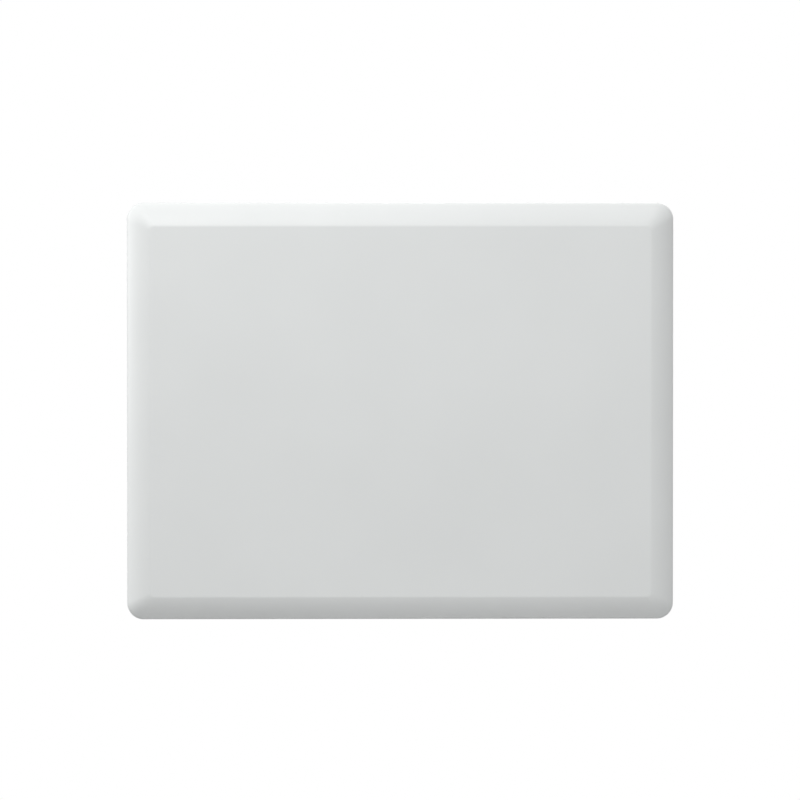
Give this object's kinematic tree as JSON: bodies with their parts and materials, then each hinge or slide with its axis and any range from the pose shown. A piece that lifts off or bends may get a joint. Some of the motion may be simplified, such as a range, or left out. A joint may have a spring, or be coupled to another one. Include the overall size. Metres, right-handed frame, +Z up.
{
  "type": "overhead security gate reader",
  "caption": "Flat rectangular radio tag reader panel for a shop exit, with a pillowed plastic cover, patch antennas and a swing-down wall bracket.",
  "frame": {"origin": "centre of the bracket's wall screw pattern, on its fixing face", "axes": "+X to the right seen from the room, +Y into the wall, +Z up"},
  "size_m": [0.5, 0.084, 0.381],
  "materials": {
    "white_cover": "fine satin moulded texture",
    "chassis_aluminium": "folded sheet, lightly brushed",
    "reflector_aluminium": "rolled sheet",
    "heat_aluminium": "extruded, matte",
    "bracket_paint": "pale grey powder coat",
    "zinc_steel": "bright zinc plate",
    "spring_steel": "spring steel, oiled",
    "shield_tin": "tin plate",
    "brass_sheet": "rolled sheet, lacquered",
    "black_rubber": "matte",
    "gasket_foam": "closed cell foam",
    "pad_rubber": "soft heat pad",
    "black_plastic": "moulded",
    "green_plastic": "moulded",
    "white_nylon": "moulded",
    "clear_plastic": "clear, frosted groove",
    "board_green": "solder resist over copper",
    "board_white": "white solder resist",
    "chip_black": "moulded epoxy",
    "can_sleeve": "can with printed sleeve",
    "ferrite": "sintered ferrite with steel plates",
    "coil_winding": "enamelled copper on a core",
    "cone_paper": "pulp cone",
    "speaker_steel": "black stoved",
    "lead_sheath": "flexible sheath",
    "label_paper": "blank plate"
  },
  "bodies": {
    "bracket": {"bracket": "bracket_paint", "hinge_pins": "zinc_steel", "pin_clips": "spring_steel", "retaining_springs": "spring_steel", "spring_rivets": "zinc_steel", "rubber_buffers": "black_rubber"},
    "unit": {"cover_gasket": "gasket_foam", "cover_screws": "zinc_steel", "chassis": "chassis_aluminium", "hinge_lugs": "zinc_steel", "earth_stud": "brass_sheet", "rating_plate": "label_paper", "connector_bay": "black_plastic", "short_screws": "zinc_steel", "network_socket_in": "shield_tin", "network_socket_out": "shield_tin", "terminal_header": "green_plastic", "reset_switch": "black_plastic", "status_light_pipe": "clear_plastic", "reader_board": "board_green", "board_pillars": "zinc_steel", "pillar_screws": "zinc_steel", "amplifier_shield": "shield_tin", "receiver_shield": "shield_tin", "processor": "chip_black", "board_chips": "chip_black", "heat_spreader": "heat_aluminium", "thermal_pad": "pad_rubber", "power_board": "board_green", "power_transformer": "ferrite", "power_capacitors": "can_sleeve", "power_inductor": "coil_winding", "reflector": "reflector_aluminium", "reflector_pillars": "zinc_steel", "feed_board": "board_green", "patch_posts": "white_nylon", "feed_pins": "brass_sheet", "coax_leads": "lead_sheath", "coax_plugs": "brass_sheet", "lamp_strips": "board_white", "light_guides": "clear_plastic", "speaker_frame": "speaker_steel", "speaker_magnet": "ferrite", "speaker_surround": "black_rubber", "power_lead": "lead_sheath", "speaker_lead": "lead_sheath", "lamp_leads": "lead_sheath", "lead_clips": "white_nylon", "lead_sockets": "white_nylon", "patch_antenna_1": "brass_sheet", "patch_antenna_2": "brass_sheet", "patch_antenna_3": "brass_sheet", "patch_antenna_4": "brass_sheet", "patch_antenna_5": "brass_sheet", "patch_antenna_6": "brass_sheet"},
    "cover": {"front_cover": "white_cover"},
    "reset_button": {"reset_plunger": "white_nylon"},
    "plug": {"terminal_plug": "green_plastic", "terminal_screws": "zinc_steel"},
    "cone": {"speaker_cone": "cone_paper"}
  },
  "joints": [
    {"name": "unit_swing", "type": "hinge", "parent": "bracket", "child": "unit", "pos_m": [0, -0.009, 0.181], "axis": [-1, 0, 0], "range_deg": [0, 75], "deforming": ["retaining_springs"]},
    {"name": "cover_off", "type": "slide", "parent": "unit", "child": "cover", "axis": [0, -1, 0], "range_m": [0, 0.09]},
    {"name": "reset_press", "type": "slide", "parent": "unit", "child": "reset_button", "axis": [0, 0, 1], "range_m": [0, 0.0005], "stiffness_N_per_m": 1500},
    {"name": "plug_off", "type": "slide", "parent": "unit", "child": "plug", "axis": [0, 0, -1], "range_m": [0, 0.014]},
    {"name": "cone_travel", "type": "slide", "parent": "unit", "child": "cone", "axis": [0, 1, 0], "range_m": [-0.0008, 0.0008], "stiffness_N_per_m": 1000, "deforming": ["speaker_surround"]}
  ]
}
